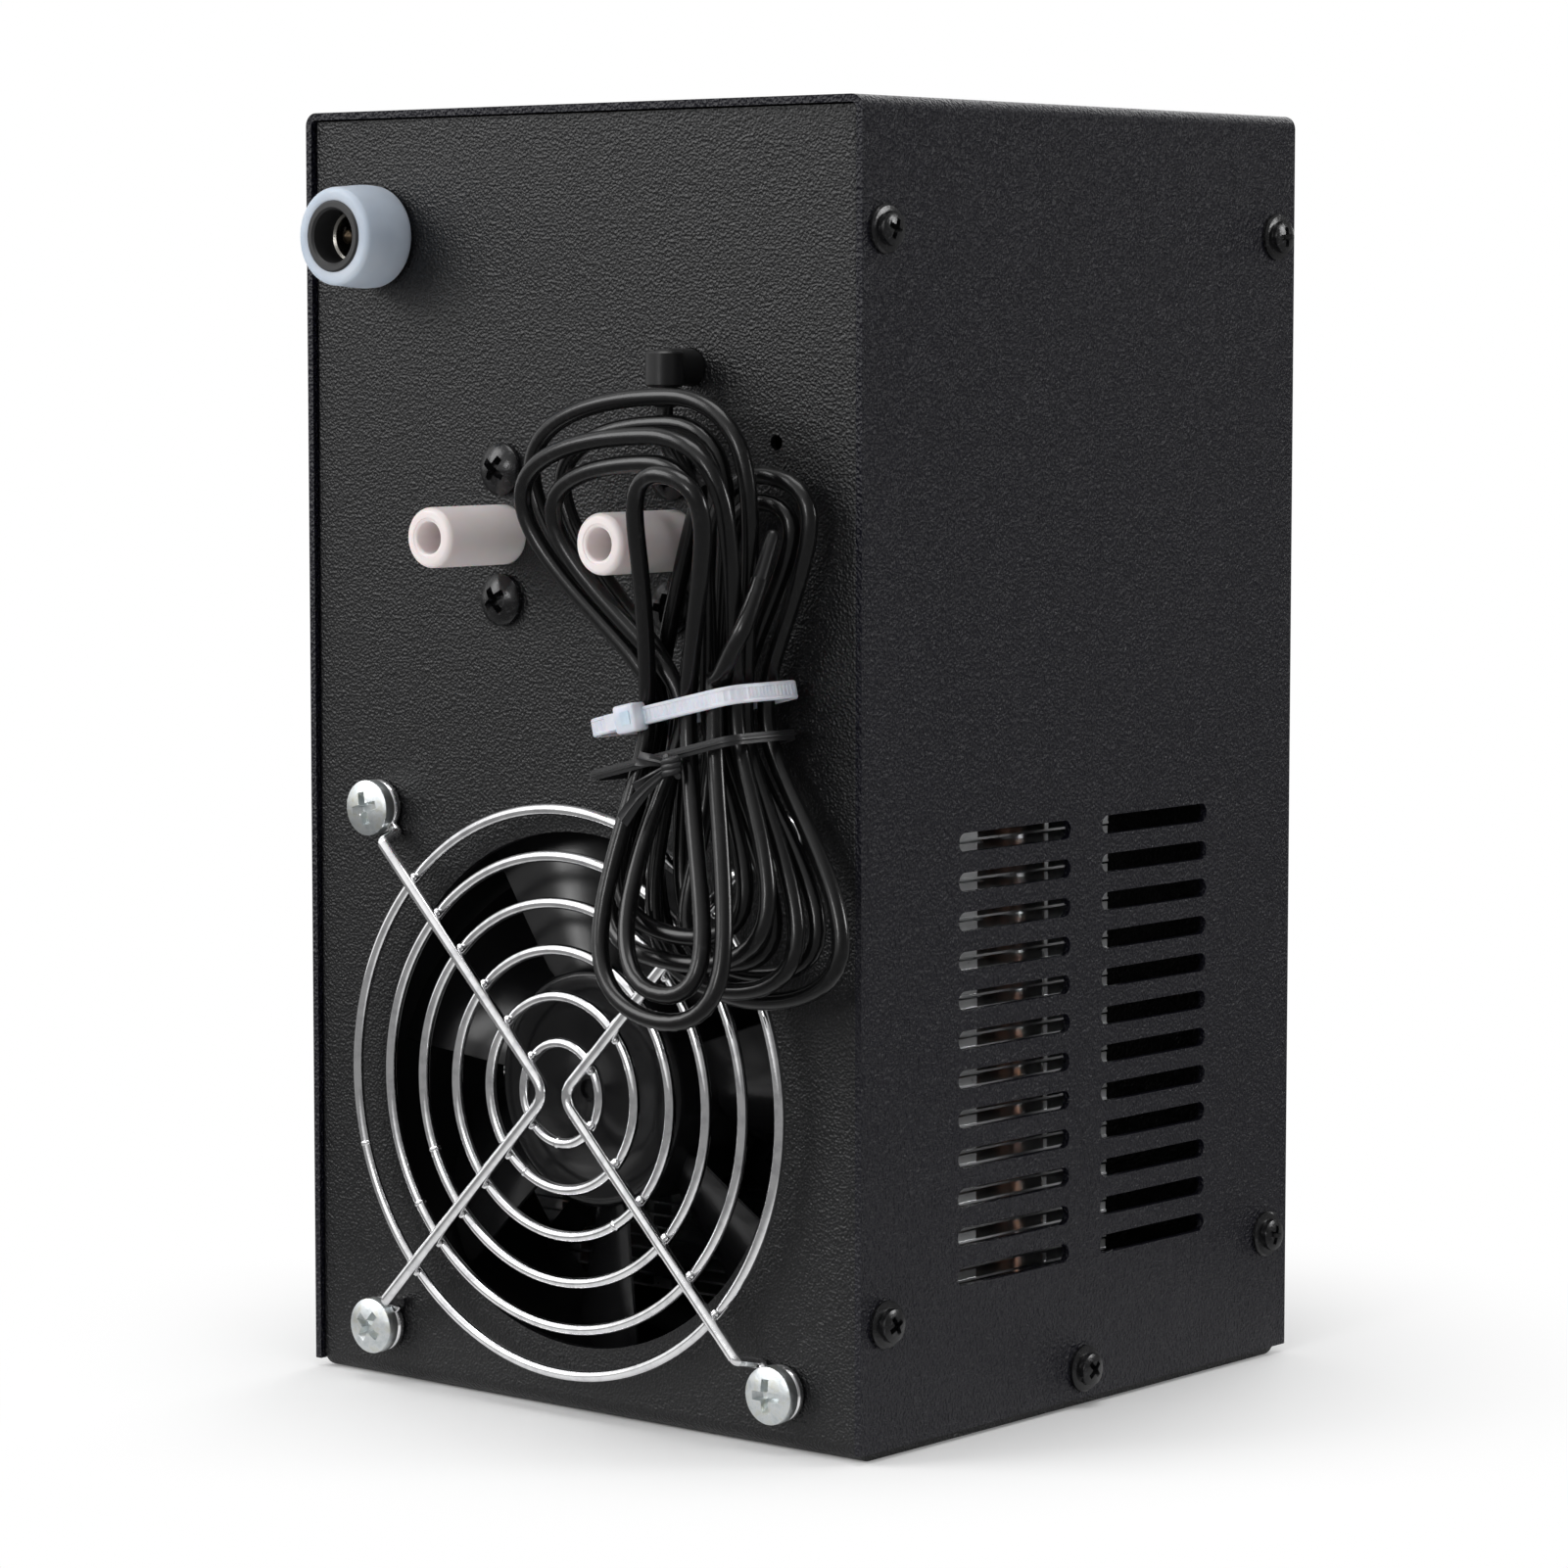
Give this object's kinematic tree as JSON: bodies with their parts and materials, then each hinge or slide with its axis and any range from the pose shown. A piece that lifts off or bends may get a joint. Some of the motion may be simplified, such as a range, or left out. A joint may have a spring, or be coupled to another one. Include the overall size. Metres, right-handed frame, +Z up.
{
  "type": "aquarium chiller",
  "caption": "Small black sheet-metal water chiller with a guarded fan, hose nozzles, side vent slots and a temperature sensor lead folded into a tied hank.",
  "frame": {"origin": "centre of the base, on the underside of the bottom plate", "axes": "+Z up, -Y out of the port and fan panel, +X out of the slotted side seen in the picture"},
  "size_m": [0.102, 0.1183, 0.1735],
  "materials": {
    "case_black": "fine wrinkle powder coat",
    "screw_black": "black oxide, satin",
    "zinc": "bright zinc plate",
    "guard_wire": "nickel plated wire",
    "fan_black": "glass filled nylon, matt",
    "bronze": "sintered bronze",
    "winding": "enamelled copper over laminations",
    "ferrite": "bonded ferrite",
    "steel": "ground",
    "nozzle_white": "white acetal, satin",
    "sleeve_clear": "translucent silicone",
    "jack_black": "moulded",
    "contact": "nickelled brass",
    "bush_black": "nylon",
    "lead_black": "PVC lead, semi gloss",
    "tie_black": "coated wire, satin",
    "tie_natural": "natural nylon, milky",
    "aluminium": "milled",
    "fin_aluminium": "rolled sheet",
    "copper": "drawn copper",
    "gasket_red": "silicone",
    "hose_clear": "silicone hose",
    "ceramic": "alumina, matt",
    "foam": "closed cell foam",
    "board_green": "solder mask",
    "display_black": "moulded",
    "bezel_black": "moulded",
    "lens_red": "dark red window",
    "key_grey": "moulded, fine grain",
    "capacitor_blue": "shrink sleeve",
    "terminal_green": "polyamide",
    "wire_red": "silicone wire",
    "wire_black": "PVC wire"
  },
  "bodies": {
    "case": {"cover": "case_black", "chassis": "case_black", "cover_screws": "screw_black", "fan_guard": "guard_wire", "fan_screws": "zinc", "fan_frame": "fan_black", "fan_bearing": "bronze", "fan_stator": "winding", "inlet_nozzle": "nozzle_white", "outlet_nozzle": "nozzle_white", "nozzle_screws": "screw_black", "nozzle_nuts": "zinc", "jack_sleeve": "sleeve_clear", "jack_body": "jack_black", "jack_ring": "contact", "jack_pin": "contact", "jack_nut": "zinc", "strain_relief": "bush_black", "sensor_cord": "lead_black", "sensor_hank": "lead_black", "sensor_tail": "lead_black", "sensor_probe": "lead_black", "zip_tie": "tie_natural", "twist_tie": "tie_black", "water_block": "aluminium", "block_gasket": "gasket_red", "block_lid": "aluminium", "inlet_tube": "hose_clear", "outlet_tube": "hose_clear", "tube_clips": "steel", "peltier": "ceramic", "foam_jacket": "foam", "clamp_plate": "steel", "clamp_screws": "zinc", "heatsink_base": "aluminium", "heat_pipes": "copper", "fin_stack": "fin_aluminium", "core_bracket": "steel", "bracket_screws": "screw_black", "control_board": "board_green", "board_posts": "zinc", "board_screws": "zinc", "display_module": "display_black", "display_bezel": "bezel_black", "display_lens": "lens_red", "switch_bodies": "bush_black", "capacitor": "capacitor_blue", "terminal_block": "terminal_green", "power_chip": "jack_black", "jack_wires": "wire_red", "tile_wires": "wire_red", "fan_wires": "wire_black", "sensor_wire": "lead_black"},
    "rotor": {"fan_rotor": "fan_black", "fan_shaft": "steel", "fan_magnet": "ferrite"},
    "key_set": {"button_set": "key_grey"},
    "key_up": {"button_up": "key_grey"},
    "key_down": {"button_down": "key_grey"}
  },
  "joints": [
    {"name": "fan_spin", "type": "hinge", "parent": "case", "child": "rotor", "pos_m": [0, -0.034, 0.0435], "axis": [0, -1, 0], "continuous": true},
    {"name": "press_set", "type": "slide", "parent": "case", "child": "key_set", "axis": [0, -1, 0], "range_m": [0, 0.0006], "stiffness_N_per_m": 300, "springref_m": -0.0004},
    {"name": "press_up", "type": "slide", "parent": "case", "child": "key_up", "axis": [0, -1, 0], "range_m": [0, 0.0006], "stiffness_N_per_m": 300, "springref_m": -0.0004},
    {"name": "press_down", "type": "slide", "parent": "case", "child": "key_down", "axis": [0, -1, 0], "range_m": [0, 0.0006], "stiffness_N_per_m": 300, "springref_m": -0.0004}
  ]
}
